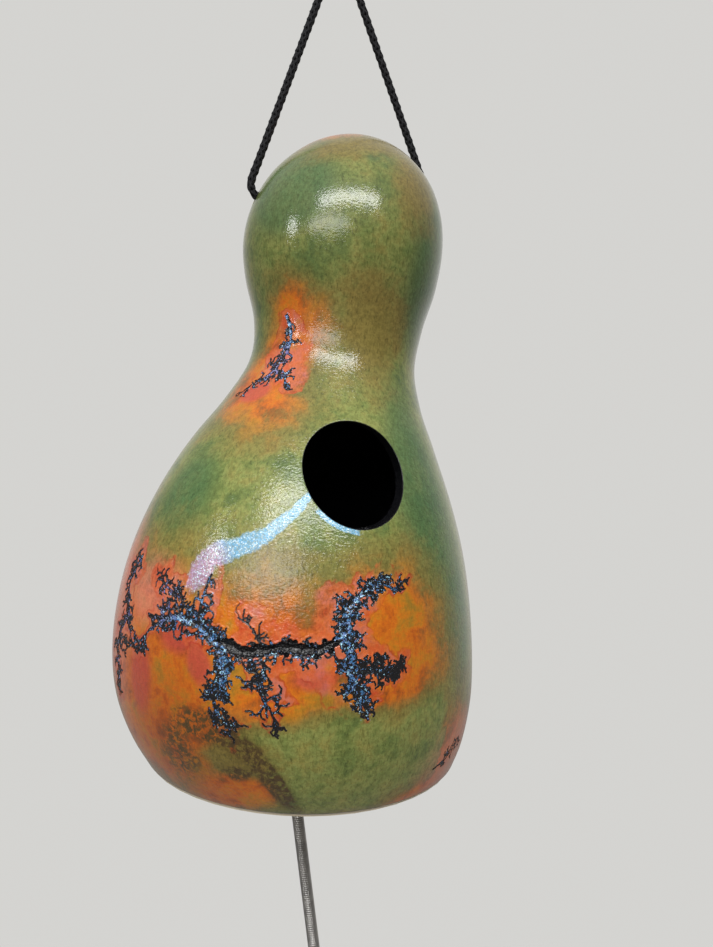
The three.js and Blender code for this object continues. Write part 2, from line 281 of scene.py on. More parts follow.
def field(name):
    """One of the fields kept on the gourd's points."""
    return wire_up(tree, "ShaderNodeAttribute", attribute_name=name).outputs["Fac"]


def noise(scale, detail=4.0, rough=0.6, warp=0.0, stretch=None):
    """Noise from 0 to 1 in the object's own place, whose axes stretch may scale."""
    vector = place.outputs["Object"]
    if stretch:
        stretched = wire_up(tree, "ShaderNodeMapping", {"Vector": vector, "Scale": stretch})
        vector = stretched.outputs["Vector"]
    made = wire_up(tree, "ShaderNodeTexNoise", {
        "Vector": vector, "Scale": float(scale), "Detail": detail, "Roughness": rough,
        "Distortion": warp,
    })
    return made.outputs["Fac"]


def reckon(operation, a, b, c=0.0):
    """Arithmetic on numbers or links."""
    return wire_up(tree, "ShaderNodeMath", {0: a, 1: b, 2: c}, operation=operation).outputs[0]


def plus(a, b):
    """The sum of two numbers or links."""
    return reckon("ADD", a, b)


def times(a, b):
    """The product of two numbers or links."""
    return reckon("MULTIPLY", a, b)


def scaled(a, factor, shift):
    """a times the factor, plus the shift."""
    return reckon("MULTIPLY_ADD", a, factor, shift)


def fade(value, low, high):
    """0 below low, 1 above high, smooth between; high may be the lower one."""
    return wire_up(tree, "ShaderNodeMapRange", {
        "Value": value, "From Min": low, "From Max": high,
    }, interpolation_type="SMOOTHSTEP").outputs["Result"]


def blend_colour(share, a, b, kind="MIX"):
    """Colour a where share is 0 and b, or their product, where it is 1."""
    made = wire_up(tree, "ShaderNodeMix", data_type="RGBA", blend_type=kind, clamp_factor=True)
    for socket, value in ((made.inputs[0], share), (made.inputs[6], a), (made.inputs[7], b)):
        if isinstance(value, bpy.types.NodeSocket):
            tree.links.new(value, socket)
        else:
            socket.default_value = value
    return made.outputs[2]


def ramp(value, stops):
    """A colour that follows value through stops of (position, colour)."""
    made = wire_up(tree, "ShaderNodeValToRGB", {"Fac": value})
    for _ in stops[2:]:
        made.color_ramp.elements.new(0.5)
    for element, (position, colour) in zip(made.color_ramp.elements, stops):
        element.position = position
        element.color = (*colour, 1)
    return made.outputs["Color"]


def relief(height, strength, metres):
    """Gives the shader at hand a relief that is so many metres high where height is 1."""
    bump = wire_up(tree, "ShaderNodeBump", {
        "Height": height, "Strength": strength, "Distance": metres,
    })
    tree.links.new(bump.outputs["Normal"], shader.inputs["Normal"])
    return bump.outputs["Normal"]


cord_finish, tree, shader, place = new_finish(
    "cord_polyester", Roughness=0.6, Sheen_Weight=0.02, Specular_IOR_Level=0.12,
)
fibres = noise(2600, 3.0, 0.5)
tone = ramp(fibres, ((0.35, (0.003, 0.003, 0.004)), (0.75, (0.017, 0.017, 0.018))))
tree.links.new(tone, shader.inputs["Base Color"])
relief(fibres, 0.6, 0.00015)
hanging_cord.data.materials.append(cord_finish)
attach(hanging_cord, "cord_loop")
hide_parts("hanging_cord")


# Stopper knots: the cord's own end wrapped twice round itself inside the bulb, with a short
# tail. Each bears on the inner mouth of its hole and holds one end of the cord.
KNOT_LENGTH = 7.5
KNOT_TAIL = 5
KNOT_CORD_RADIUS = 0.95 * CORD_RADIUS
WRAPS = 2.2
for name, side, knot_x in (("left", -1, left_knot_x), ("right", 1, right_knot_x)):
    wrap_radius = KNOT_DIAMETER / 2 - KNOT_CORD_RADIUS
    wound = np.linspace(0, 1, 60)
    inward = -side
    coil = np.stack([
        knot_x + inward * (CORD_RADIUS + wound * (KNOT_LENGTH - 2 * CORD_RADIUS)),
        wrap_radius * np.cos(2 * math.pi * WRAPS * wound),
        hole_z + wrap_radius * np.sin(2 * math.pi * WRAPS * wound),
    ], axis=1)
    tail = [
        (knot_x + inward * x, 0, hole_z)
        for x in np.linspace(0.1, KNOT_LENGTH + KNOT_TAIL, 8)
    ]
    knot = new_piece(
        f"knot_{name}_tied", *joined([tube(coil, KNOT_CORD_RADIUS, 12), tube(tail, CORD_RADIUS, 12)]),
    )
    knot.data.materials.append(cord_finish)
    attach(knot, "cord_loop")
    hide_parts(f"knot_{name}")


# Gourd shell: a dried bottle gourd, hollow, with a wall of about 7 mm. Its base is sawn off
# level, a 44.5 mm sound hole is cut in the front and the cord goes through two small holes.
# Branching figures are burnt into its skin, which is then dyed and coated with gloss varnish.
SOUND_HOLE_RADIUS = 22.25
SOUND_HOLE_HEIGHT = 0.446 * GOURD_HEIGHT
AROUND = 168
OUTER_STEP = 3.2
INNER_STEP = 7
RIM_ROUNDING = 0.7
RIM_WALL = 1.02 * WALL
FINEST_EDGE = 0.5
HALVINGS = 4
FAR_AWAY = 60.0
BURN_STEP = 1.0
BURN_WANDER = 0.25
WIDE_BURN = 0.9
THINNEST_STEM = 0.45
THINNEST_TWIG = 0.48
TWIG_CHANCE = (0.5, 0.6, 0.45, 0)
TWIG_REACH = (6.5, 4.2, 2.4)
rng = np.random.default_rng(41)

# Distance along the outline from the rim, with the radius, height and outward slope there
rise = np.concatenate([[0], np.cumsum(np.linalg.norm(np.diff(outline, axis=0), axis=1))])
outline_run = rise[-1]


def on_outline(s):
    """Radius and height of the outline, s along it from the rim."""
    return np.interp(s, rise, outline[:, 0]), np.interp(s, rise, outline[:, 1])


def points_round(radius, height, ways):
    """Points at a radius and a height above the rim, in the given directions from the middle."""
    level = RIM_Z + height + np.zeros(len(ways))
    return np.stack([middle_at(height) + radius * ways[:, 0], radius * ways[:, 1], level], axis=1)


def surface_points(s, ways):
    """Points on the outside, from their place up the outline and their direction round it."""
    return points_round(*on_outline(s), ways)


# Burns: each stem is a line of (degrees round, millimetres up) on the gourd. A stem throws side
# branches, and those throw twigs, the way a spark creeps over damp wood. A mark is one scorched
# spot: place, half width, whether it belongs to a deep channel, and how full of mica it is.
burn_marks = []


def creep(turn, height, heading, length, half_width, order, mica):
    """Walks one branch over the surface in short steps; it thins, swells and throws side twigs."""
    steps = max(2, round(length / BURN_STEP))
    thinnest = min(half_width, THINNEST_TWIG)
    for i in range(steps):
        share = i / steps
        wide = max(half_width * (1 - 0.45 * share) * rng.uniform(0.8, 1.2), thinnest)
        heading += rng.normal(0, BURN_WANDER)
        turn_step = math.degrees(BURN_STEP * math.cos(heading) / max(radius_at(height), 8))
        for _ in range(2):
            burn_marks.append((turn, height, wide, 0, mica * (1 - 0.6 * share)))
            turn += turn_step / 2
            height += BURN_STEP / 2 * math.sin(heading)
        if rng.random() < TWIG_CHANCE[order]:
            sway = rng.choice((-1, 1)) * rng.uniform(0.7, 1.3)
            reach = TWIG_REACH[order] * rng.uniform(0.4, 1.0) * (1 - 0.4 * share)
            creep(turn, height, heading + sway, reach, wide * 0.9, order + 1, mica * 0.85)


def stem(points, half_width, reach=6.0, lively=0.45, mica=1.0, deep=False):
    """A main burn through the points, with branches of that reach to both sides of it."""
    points = np.array(points, float)
    radius = radius_at(points[:, 1].mean())
    flat = np.stack([np.radians(points[:, 0]) * radius, points[:, 1]], axis=1)
    line = smooth_line(flat, 10)
    far = np.concatenate([[0], np.cumsum(np.linalg.norm(np.diff(line, axis=0), axis=1))])
    marks = np.linspace(0, far[-1], max(3, round(far[-1] / BURN_STEP)))
    x, y = (np.interp(marks, far, line[:, k]) for k in (0, 1))
    drift = np.cumsum(rng.normal(0, BURN_WANDER, len(marks)))
    drift -= np.linspace(0, drift[-1], len(marks))
    turn_line, height_line = np.degrees(x / radius), y + drift
    thinnest = min(half_width, THINNEST_STEM)
    for i in range(len(marks)):
        j = min(i + 1, len(marks) - 1)
        share = marks[i] / far[-1]
        wide = half_width * rng.uniform(0.7, 1.2) * (1 - 0.35 * share)
        turn, height = turn_line[i], height_line[i]
        for half_way in (0, 0.5)[:len(marks) - i]:
            burn_marks.append((
                turn + half_way * (turn_line[j] - turn),
                height + half_way * (height_line[j] - height),
                max(wide, thinnest), deep, mica,
            ))
        if rng.random() < lively:
            heading = math.atan2(y[j] - y[j - 1], x[j] - x[j - 1])
            sway = rng.choice((-1, 1)) * rng.uniform(0.7, 1.5)
            branch_wide = half_width
            if half_width > THINNEST_STEM:
                branch_wide = 0.42 + 0.27 * min(wide, 1.2)
            creep(turn, height, heading + sway, reach * rng.uniform(0.3, 1.2), branch_wide, 1, mica)
        if deep and rng.random() < 0.45:
            side = rng.choice((-1, 1)) * rng.uniform(0.5, 1.0) * half_width
            burn_marks.append((turn, height + side, rng.uniform(0.8, 1.3), deep, mica))
    if not deep:
        tip_heading = math.atan2(y[-1] - y[-2], x[-1] - x[-2])
        creep(turn, height, tip_heading, 0.8 * reach, 0.8 * half_width, 0, mica * 0.6)


# Belly, front: one deep level channel with a fan of branches at each end
stem([(-127, 69), (-119, 67), (-110, 69), (-102, 68), (-96, 71)], 2.6, 3.5, 0.5, 1.0, deep=True)
stem([(-126, 68), (-131, 73), (-138, 76), (-145, 74)], 1.9, 6, 0.95)
stem([(-145, 74), (-152, 66), (-159, 59)], 0.8, 6, 0.7, 0.6)
stem([(-132, 74), (-133, 82), (-132, 91)], 0.8, 4, 0.5)
stem([(-139, 76), (-143, 84), (-148, 88)], 0.7, 4, 0.6, 0.8)
stem([(-127, 69), (-124, 61), (-125, 53)], 2.1, 6, 1.0)
stem([(-125, 53), (-127, 46), (-124, 39)], 0.9, 5, 0.7, 0.5)
stem([(-116, 67), (-114, 59), (-115, 52), (-112, 44)], 0.75, 6, 0.7, 0.6)
stem([(-96, 71), (-93, 77), (-94, 84), (-89, 89)], 1.8, 5.5, 1.0)
stem([(-89, 89), (-84, 92), (-79, 90)], 0.9, 4, 0.8, 0.8)
stem([(-94, 72), (-92, 65), (-92, 57), (-89, 50)], 2.2, 6.5, 1.0)
stem([(-92, 62), (-86, 60), (-81, 60)], 1.7, 6, 1.0, 0.25)
# Belly, left side: a stem that runs down the flank
stem([(-163, 96), (-167, 84), (-163, 70), (-169, 56), (-166, 42)], 1.1, 6, 0.6, 0.5)
# Belly, back and right side: two more figures, smaller than the front one
stem([(97, 82), (86, 76), (74, 79), (62, 72)], 1.7, 3, 0.4, deep=True)
stem([(62, 72), (53, 80), (46, 92)], 1.2, 6, 0.8)
stem([(62, 72), (54, 62), (57, 50)], 1.3, 6, 0.8, 0.6)
stem([(97, 82), (105, 74), (102, 60), (110, 50)], 1.3, 6, 0.8)
stem([(97, 82), (106, 92), (114, 95)], 1.0, 6, 0.7, 0.7)
stem([(-22, 46), (-16, 58), (-20, 70), (-12, 82)], 1.0, 6, 0.7, 0.7)
# Low on the right: a small spray near the rim
stem([(-62, 12), (-55, 14), (-48, 20)], 0.5, 2.5, 0.5, 0.2)
# Neck, left: one trunk that forks twice
stem([(-143, 206), (-139, 199), (-138, 191), (-141, 184)], 0.95, 3.5, 0.7)
stem([(-138, 193), (-141, 184), (-146, 177), (-156, 172)], 0.85, 4, 0.5)
stem([(-143, 181), (-135, 179), (-130, 172)], 0.75, 2.5, 0.4)
# Neck, back: a short one
stem([(30, 200), (36, 190), (33, 180), (42, 170)], 0.9, 4.5, 0.7)
# Belly, front: a thin vein beside the deep channel, on its lower side
stem([(-123, 65), (-117, 64.6), (-110, 66.4), (-103, 65.8), (-98, 68)], 0.8, 1.6, 0.3)
# Belly, front: a bare black twig above the channel
stem([(-116, 70.5), (-118, 75), (-121, 78)], 0.4, 1.8, 0.4, 0.0)
burn_turn, burn_height, burn_half, burn_deep, burn_mica = np.array(burn_marks, float).T
height_run = np.interp(burn_height, outline[:, 1], rise)
burn_ways = np.stack([np.cos(np.radians(burn_turn)), np.sin(np.radians(burn_turn))], axis=1)
burn_places = surface_points(height_run, burn_ways)
wide_burns = burn_half > WIDE_BURN
burn_trees = []
for chosen in (wide_burns, ~wide_burns):
    tree_of_marks = KDTree(int(chosen.sum()))
    for spot, i in zip(burn_places[chosen], np.flatnonzero(chosen)):
        tree_of_marks.insert(spot, int(i))
    tree_of_marks.balance()
    burn_trees.append(tree_of_marks)


def burn_distance(points):
    """Distance from the edge of the nearest burn, negative inside it, and that burn's mark."""
    far = np.full(len(points), FAR_AWAY)
    mark = np.zeros(len(points), int)
    for row, point in enumerate(points):
        for tree_of_marks in burn_trees:
            for _, i, distance in tree_of_marks.find_n(point, 3):
                from_edge = distance - burn_half[i]
                if from_edge < far[row]:
                    far[row] = from_edge
                    mark[row] = i
    return far, mark


def sound_hole_distance(points):
    """Distance from the sound hole's edge, negative inside it. The back counts as far away."""
    far = np.hypot(
        points[:, 0] - middle_at(SOUND_HOLE_HEIGHT), points[:, 2] - RIM_Z - SOUND_HOLE_HEIGHT,
    ) - SOUND_HOLE_RADIUS
    far[points[:, 1] > 0] = FAR_AWAY
    return far


# Body mesh: rings down the inside, over the sawn rim with its rounded edge, and up the outside
rim_radius = on_outline(0)[0]
corner = 0.29 * RIM_ROUNDING
edge = (
    (rim_radius - RIM_WALL, 0), (rim_radius - RIM_ROUNDING, 0), (rim_radius - corner, corner),
)
outer_runs = np.linspace(RIM_ROUNDING, outline_run, round(outline_run / OUTER_STEP) + 1)
inner_rows = []
for s in np.linspace(0, outline_run, round(outline_run / INNER_STEP) + 1)[1:]:
    (r0, h0), (r1, h1) = on_outline(max(s - 0.5, 0)), on_outline(min(s + 0.5, outline_run))
    run = math.hypot(r1 - r0, h1 - h0)
    r, h = on_outline(s)
    r, h = r - WALL * (h1 - h0) / run, h + WALL * (r1 - r0) / run
    if r > 1 and h < GOURD_HEIGHT - WALL:
        inner_rows.append((r, h))
ring_turns = 2 * np.pi * np.arange(AROUND) / AROUND
ring_ways = np.stack([np.cos(ring_turns), np.sin(ring_turns)], axis=1)
rings = [points_round(r, h, ring_ways) for r, h in (*inner_rows[::-1], *edge)]
first_outer = len(rings)
rings += [surface_points(np.full(AROUND, s), ring_ways) for s in outer_runs[:-1]]
points = np.concatenate(rings)
runs = np.concatenate([
    np.full(first_outer * AROUND, -1.0), np.repeat(outer_runs[:-1], AROUND), [outline_run, -1.0],
])
ways = np.concatenate([np.tile(ring_ways, (len(rings), 1)), [[0, 0], [0, 0]]])
crown, inner_crown = len(points), len(points) + 1
points = np.concatenate([
    points,
    [[middle_at(GOURD_HEIGHT), 0, RIM_Z + GOURD_HEIGHT]],
    [[middle_at(GOURD_HEIGHT - WALL), 0, RIM_Z + GOURD_HEIGHT - WALL]],
])
faces = []
step_round = np.arange(AROUND)
next_round = (step_round + 1) % AROUND
for k in range(len(rings) - 1):
    a, b = k * AROUND + step_round, k * AROUND + next_round
    faces.append(np.stack([a, b, b + AROUND], axis=1))
    faces.append(np.stack([a, b + AROUND, a + AROUND], axis=1))
top = (len(rings) - 1) * AROUND
faces.append(np.stack([top + step_round, top + next_round, np.full(AROUND, crown)], axis=1))
faces.append(np.stack([next_round, step_round, np.full(AROUND, inner_crown)], axis=1))
faces = np.concatenate(faces)


def wanted_edge(places):
    """How long an edge may be there: short beside a burn and beside the sound hole."""
    from_burn, _ = burn_distance(places)
    from_hole = np.abs(sound_hole_distance(places))
    by_burn = FINEST_EDGE + 0.55 * np.clip(from_burn - 0.6, 0, FAR_AWAY)
    by_hole = 0.9 + 0.6 * np.clip(from_hole - 1, 0, FAR_AWAY)
    return np.minimum(by_burn, by_hole)


# Long edges are halved until each is short enough for what lies there
for _ in range(HALVINGS):
    sides = np.sort(np.stack([faces[:, [0, 1]], faces[:, [1, 2]], faces[:, [2, 0]]], axis=1), axis=2)
    count = len(points)
    keys, back = np.unique(sides[..., 0] * count + sides[..., 1], return_inverse=True)
    a, b = keys // count, keys % count
    outside = (runs[a] >= 0) & (runs[b] >= 0)
    middles = (points[a] + points[b]) / 2
    lengths = np.linalg.norm(points[a] - points[b], axis=1)
    split = outside & (lengths > FINEST_EDGE)
    split[split] = lengths[split] > wanted_edge(middles[split])
    a, b = a[split], b[split]
    new_runs = (runs[a] + runs[b]) / 2
    new_ways = ways[a] + ways[b]
    new_ways /= np.maximum(np.linalg.norm(new_ways, axis=1), 1e-9)[:, None]
    middle_of = np.full(len(keys), -1)
    middle_of[split] = count + np.arange(split.sum())
    points = np.concatenate([points, surface_points(new_runs, new_ways)])
    runs = np.concatenate([runs, new_runs])
    ways = np.concatenate([ways, new_ways])
    halves = middle_of[back.reshape(-1)].reshape(-1, 3)
    done = [faces[(halves < 0).all(axis=1)]]
    for k in range(3):
        order = [k, (k + 1) % 3, (k + 2) % 3]
        f, m = faces[:, order], halves[:, order]
        one = (m[:, 0] >= 0) & (m[:, 1] < 0) & (m[:, 2] < 0)
        a, b, c, ab = *f[one].T, m[one, 0]
        done += [np.stack(t, axis=1) for t in ((a, ab, c), (ab, b, c))]
        two = (m[:, 0] >= 0) & (m[:, 1] >= 0) & (m[:, 2] < 0)
        a, b, c, ab, bc = *f[two].T, m[two, 0], m[two, 1]
        done += [np.stack(t, axis=1) for t in ((ab, b, bc), (a, ab, bc), (a, bc, c))]
    every = (halves >= 0).all(axis=1)
    (a, b, c), (ab, bc, ca) = faces[every].T, halves[every].T
    done += [np.stack(t, axis=1) for t in ((a, ab, ca), (ab, b, bc), (ca, bc, c), (ab, bc, ca))]
    faces = np.concatenate(done)
gourd = new_piece("gourd_shell_carved", points, faces.tolist())


# The sound hole and the two cord holes are cut with round cutters. The sound hole's is finely
# divided along its length, so that the wall it leaves has points enough for its rounded edge.
def round_cutter(name, radius, centre, facing, start, end, rows, count):
    """A cylinder along the third column of facing, from start to end as seen from its centre."""
    cutter_points = []
    for z in np.linspace(start, end, rows):
        middle = centre + facing @ np.array((0, 0, z))
        for k in range(count):
            a = 2 * math.pi * k / count
            from_line = np.array((radius * math.cos(a), radius * math.sin(a), 0))
            cutter_points.append(middle + facing @ from_line)
    return new_piece(name, cutter_points, tube_faces(rows, count))


to_front = np.array(((1, 0, 0), (0, 0, -1), (0, 1, 0)), float)
to_side = np.array(((0, 0, 1), (0, 1, 0), (-1, 0, 0)), float)
sound_hole_middle = np.array((middle_at(SOUND_HOLE_HEIGHT), 0, RIM_Z + SOUND_HOLE_HEIGHT))
cord_hole_middle = np.array((middle_at(CORD_HOLE_HEIGHT), 0, hole_z))
cutters = (
    round_cutter(
        "sound_cutter", SOUND_HOLE_RADIUS, sound_hole_middle, to_front,
        start=30, end=95, rows=72, count=112,
    ),
    round_cutter(
        "cord_cutter", CORD_HOLE_RADIUS, cord_hole_middle, to_side,
        start=-70, end=70, rows=2, count=24,
    ),
)
for cutter in cutters:
    cut = gourd.modifiers.new(cutter.name, "BOOLEAN")
    cut.operation = "DIFFERENCE"
    cut.solver = "MANIFOLD"
    cut.object = cutter
depsgraph = bpy.context.evaluated_depsgraph_get()
shaped = bpy.data.meshes.new_from_object(gourd.evaluated_get(depsgraph))
gourd.modifiers.clear()
gourd.data = shaped
for cutter in cutters:
    bpy.data.objects.remove(cutter)

# Where each point lies: its height, its direction, and how deep it is below the outside
SKIN_WITHIN = 0.12
ROWS_AT_ONCE = 20000
places = np.zeros(len(shaped.vertices) * 3)
shaped.vertices.foreach_get("co", places)
places = places.reshape(-1, 3) / MM
heights = places[:, 2] - RIM_Z
from_middle = places[:, 0] - middle_at(heights)
reach = np.hypot(from_middle, places[:, 1])
coarse = np.linspace(0, outline_run, 420)
coarse_r, coarse_h = on_outline(coarse)
deep = np.empty(len(places))
run_here = np.empty(len(places))
for start in range(0, len(places), ROWS_AT_ONCE):
    rows = slice(start, start + ROWS_AT_ONCE)
    gap_r = reach[rows, None] - coarse_r
    gap_h = heights[rows, None] - coarse_h
    nearest = np.argmin(gap_r ** 2 + gap_h ** 2, axis=1)
    nearest = np.clip(nearest, 1, len(coarse) - 2)
    along_r = coarse_r[nearest + 1] - coarse_r[nearest - 1]
    along_h = coarse_h[nearest + 1] - coarse_h[nearest - 1]
    size = np.hypot(along_r, along_h)
    here = np.arange(len(nearest))
    deep[rows] = -(gap_r[here, nearest] * along_h - gap_h[here, nearest] * along_r) / size
    run_here[rows] = coarse[nearest]
outside = deep < SKIN_WITHIN
above_r, above_h = on_outline(run_here + 0.5)
below_r, below_h = on_outline(run_here - 0.5)
slope_r, slope_h = above_r - below_r, above_h - below_h
slope_size = np.maximum(np.hypot(slope_r, slope_h), 1e-6)
away = np.stack([
    from_middle / np.maximum(reach, 1e-6) * slope_h / slope_size,
    places[:, 1] / np.maximum(reach, 1e-6) * slope_h / slope_size,
    -slope_r / slope_size,
], axis=1)

# The burns are sunk into the outside, the deep channels most, with a slightly raised lip. Their
# floor is crumbly charcoal. The sound hole's edge is rounded.
CHANNEL_DEPTH = 2.4
CHANNEL_CRUMBS = 0.3
TWIG_CRUMBS = 0.08
LIP_HEIGHT = 0.10
EDGE_ROUNDING = 0.35
burn_far, burn_mark = np.full(len(places), FAR_AWAY), np.zeros(len(places), int)
burn_far[outside], burn_mark[outside] = burn_distance(places[outside])
half = burn_half[burn_mark]
in_channel = burn_deep[burn_mark] > 0
inside_share = np.clip(-burn_far / half, 0, 1)
twig_depth = 0.45 * np.minimum(half, 1.2) + 0.1
sunk = np.where(in_channel, CHANNEL_DEPTH, twig_depth) * np.sqrt(inside_share)
crumbs = np.where(in_channel, CHANNEL_CRUMBS, TWIG_CRUMBS) * rng.uniform(-1, 1, len(places))
sunk += crumbs * np.minimum(3 * inside_share, 1)
lip = LIP_HEIGHT * np.exp(-((burn_far - 0.25) / 0.3) ** 2)
from_sound_hole = sound_hole_distance(places)
hole_edge = np.clip(1 - np.abs(from_sound_hole) / EDGE_ROUNDING, 0, 1)
sunk = sunk + EDGE_ROUNDING * 0.6 * hole_edge ** 2
moved = np.where(outside, lip - sunk, 0)[:, None] * away
shaped.vertices.foreach_set("co", ((places + moved) * MM).ravel())

# Dye: fields that are positive inside a stain; the finish frays their edges. The rose field's tall
# stain on the left limb is partly a painted reflection of the pale wall.
turns = np.degrees(np.arctan2(places[:, 1], from_middle))


def stain(turn, height, wide, tall, lean_by=0.0):
    """1 in the middle of an oval stain and 0 at its edge; sizes in millimetres."""
    x = np.radians((turns - turn + 180) % 360 - 180) * radius_at(height)
    y = heights - height
    level, steep = math.cos(lean_by), math.sin(lean_by)
    return 1 - np.hypot((x * level + y * steep) / wide, (y * level - x * steep) / tall)


orange = np.maximum.reduce([
    stain(-112, 66, 62, 30), stain(-150, 58, 52, 42), stain(-150, 26, 44, 26, 0.2),
    stain(-126, 9, 30, 11, 0.3), stain(-83, 67, 33, 34), stain(-9, 62, 26, 34, 0.3),
    stain(180, 72, 42, 36), stain(82, 72, 62, 34), stain(50, 76, 34, 36),
    stain(-44, 0, 58, 31), 1.7 * stain(-63, -2, 32, 21),
    stain(-141, 184, 19, 30, -0.5), 0.45 * stain(-133, 165, 15, 14), 0.7 * stain(-139, 207, 12, 15),
    stain(36, 184, 26, 28, 0.4),
])
# The crown's orange cap sits a little to the left
CAP_RADIUS = 21
cap_middle = np.array((middle_at(GOURD_HEIGHT) - 17, -7, RIM_Z + GOURD_HEIGHT - 4))
from_cap = np.linalg.norm(places - cap_middle, axis=1)
orange = np.maximum(orange, 0.8 * (1 - from_cap / CAP_RADIUS))
# Low on the left a green wedge, with less orange dye, lies between two slanting edges
wedge_top = np.interp(turns, (-144, -130, -119, -90), (22, 31, 40, 49))
wedge_foot = np.interp(turns, (-144, -136, -125, -114, -106), (28, 22, 15, 10, -4))
wedge = np.clip(np.minimum(wedge_top - heights, heights - wedge_foot) / 20, 0, 0.6)
orange = orange - 1.5 * np.where(turns < -60, wedge, 0)
moss = np.maximum.reduce([
    1.2 * stain(-142, 262, 30, 26), stain(-152, 124, 22, 24), stain(-60, 130, 26, 60, 0.1),
    stain(-45, 235, 26, 46), stain(-96, 278, 5, 3), stain(130, 150, 44, 50), stain(30, 120, 40, 40),
    stain(10, 250, 30, 30), stain(120, 262, 30, 24), stain(-50, 78, 17, 40),
])
mould = np.maximum.reduce([
    1.6 * stain(-112.8, 14.5, 4.8, 19, 0.47), 0.32 * stain(-141, 26, 15, 26),
    stain(-130, 36, 19, 8, -0.2), stain(-121, 30, 12, 6, -0.5), stain(-123, 18, 8, 4),
    stain(70, 30, 22, 12, 0.3), stain(150, 24, 16, 18),
])
ochre = np.maximum.reduce([
    stain(-119, 284, 22, 14), stain(-66, 270, 22, 30), stain(-95, 290, 34, 16),
    stain(-88, 200, 24, 40, 0.2), stain(100, 230, 30, 34), stain(-112, 100, 34, 10, 0.1),
    stain(-86, 94, 36, 12), stain(20, 90, 34, 26), stain(-126, 24, 26, 16),
])
under_hole = np.minimum(1 - np.abs(from_sound_hole - 1.1) / 1.5, stain(-97, 115, 12, 12))
band = np.maximum.reduce([
    stain(-135, 94, 6, 10, -0.4), stain(-130, 102, 13, 5.6, 0.35), stain(-123, 106, 12, 4.6, 0.45),
    stain(-115, 113, 12, 3.2, 0.75), stain(-109, 121, 9, 2.6, 1.0), under_hole,
    stain(100, 104, 22, 4.5, 0.5),
])
lilac = np.maximum(stain(-137, 92, 15, 16), stain(118, 98, 14, 14))
# Rose: pink dye; the tall stain on the left limb is partly pink dye and partly a painted reflection of
# the pale wall
rose_dye_and_reflection = np.maximum.reduce([
    stain(-172, 64, 26, 56), stain(-152, 84, 24, 18), stain(-40, 8, 46, 27), stain(-141, 184, 11, 12),
])
crimson = np.maximum.reduce([
    stain(-153, 48, 10, 18), stain(-139, 69, 13, 9, -0.2), stain(-132, 60, 6, 10, 0.4),
    stain(-101, 57, 12, 6), stain(-147, 170, 10, 6), stain(172, 66, 12, 8),
])
# The black paint of the inside laps half a millimetre over the sound hole's edge
PAINT_LAP = 0.5
lapped = np.clip(PAINT_LAP - np.abs(from_sound_hole), 0, PAINT_LAP) / PAINT_LAP
fields = {
    "burn": np.clip(burn_far, -3, 30), "mica": np.where(in_channel, 0, burn_mica[burn_mark]),
    "orange": orange, "moss": moss, "mould": mould, "band": band, "ochre": ochre, "lilac": lilac,
    "rose_dye_and_reflection": rose_dye_and_reflection, "crimson": crimson, "deep": np.where(outside, 0.9 * lapped, 2),
}
for name, values in fields.items():
    kept = shaped.attributes.new(name, "FLOAT", "POINT")
    kept.data.foreach_set("value", np.asarray(values, np.float32))

# Finish: mottled dye under gloss varnish. The stains' fields are frayed by the same two noises,
# so the dye pools and creeps the way it does on a skin that isn't quite even.
gourd_finish, tree, shader, place = new_finish(
    "dyed_gourd", Coat_Weight=0.9, Coat_Roughness=0.11, Coat_IOR=1.5, Specular_IOR_Level=0.15,
)
broad = noise(24, 5.0, 0.62, 0.15)
middling = noise(90, 6.0, 0.68, 0.2)
grain = noise(900, 3.0, 0.7, stretch=(1.0, 1.0, 0.20))
pores = noise(1300, 2.0, 0.6, stretch=(1.0, 1.0, 0.35))
fray = plus(scaled(middling, 0.9, -0.45), scaled(broad, 1.1, -0.55))
mottle = plus(times(broad, 0.5), times(middling, 0.5))
green = ramp(mottle, (
    (0.38, (0.092, 0.142, 0.034)), (0.46, (0.156, 0.200, 0.046)), (0.52, (0.225, 0.250, 0.064)),
    (0.60, (0.262, 0.236, 0.056)), (0.68, (0.220, 0.150, 0.024)),
))
moss_share = fade(plus(field("moss"), fray), -0.05, 0.55)
green = blend_colour(times(moss_share, 0.7), green, (0.044, 0.125, 0.042, 1))
orange_at = plus(field("orange"), fray)
ochre_at = reckon("MAXIMUM", plus(field("ochre"), fray), plus(orange_at, 0.65))
ochre_share = fade(ochre_at, 0.0, 0.7)
green = blend_colour(times(ochre_share, 0.8), green, (0.225, 0.158, 0.032, 1))
rust_tone = plus(times(middling, 0.7), times(noise(40, 4.0, 0.6), 0.3))
rust = ramp(rust_tone, (
    (0.40, (0.290, 0.066, 0.003)), (0.46, (0.480, 0.102, 0.002)), (0.51, (0.560, 0.142, 0.003)),
    (0.57, (0.480, 0.168, 0.005)), (0.64, (0.310, 0.160, 0.010)),
))
skin = blend_colour(fade(orange_at, -0.14, 0.42), green, rust)
# Rose colour: pink dye, and on the left limb also a painted reflection of the pale wall
rose_dye_and_reflection_share = fade(plus(field("rose_dye_and_reflection"), times(fray, 0.6)), -0.1, 0.7)
skin = blend_colour(times(rose_dye_and_reflection_share, 0.6), skin, (0.600, 0.200, 0.150, 1))
crimson_share = fade(plus(field("crimson"), fray), -0.05, 0.5)
skin = blend_colour(times(crimson_share, 0.75), skin, (0.450, 0.055, 0.045, 1))

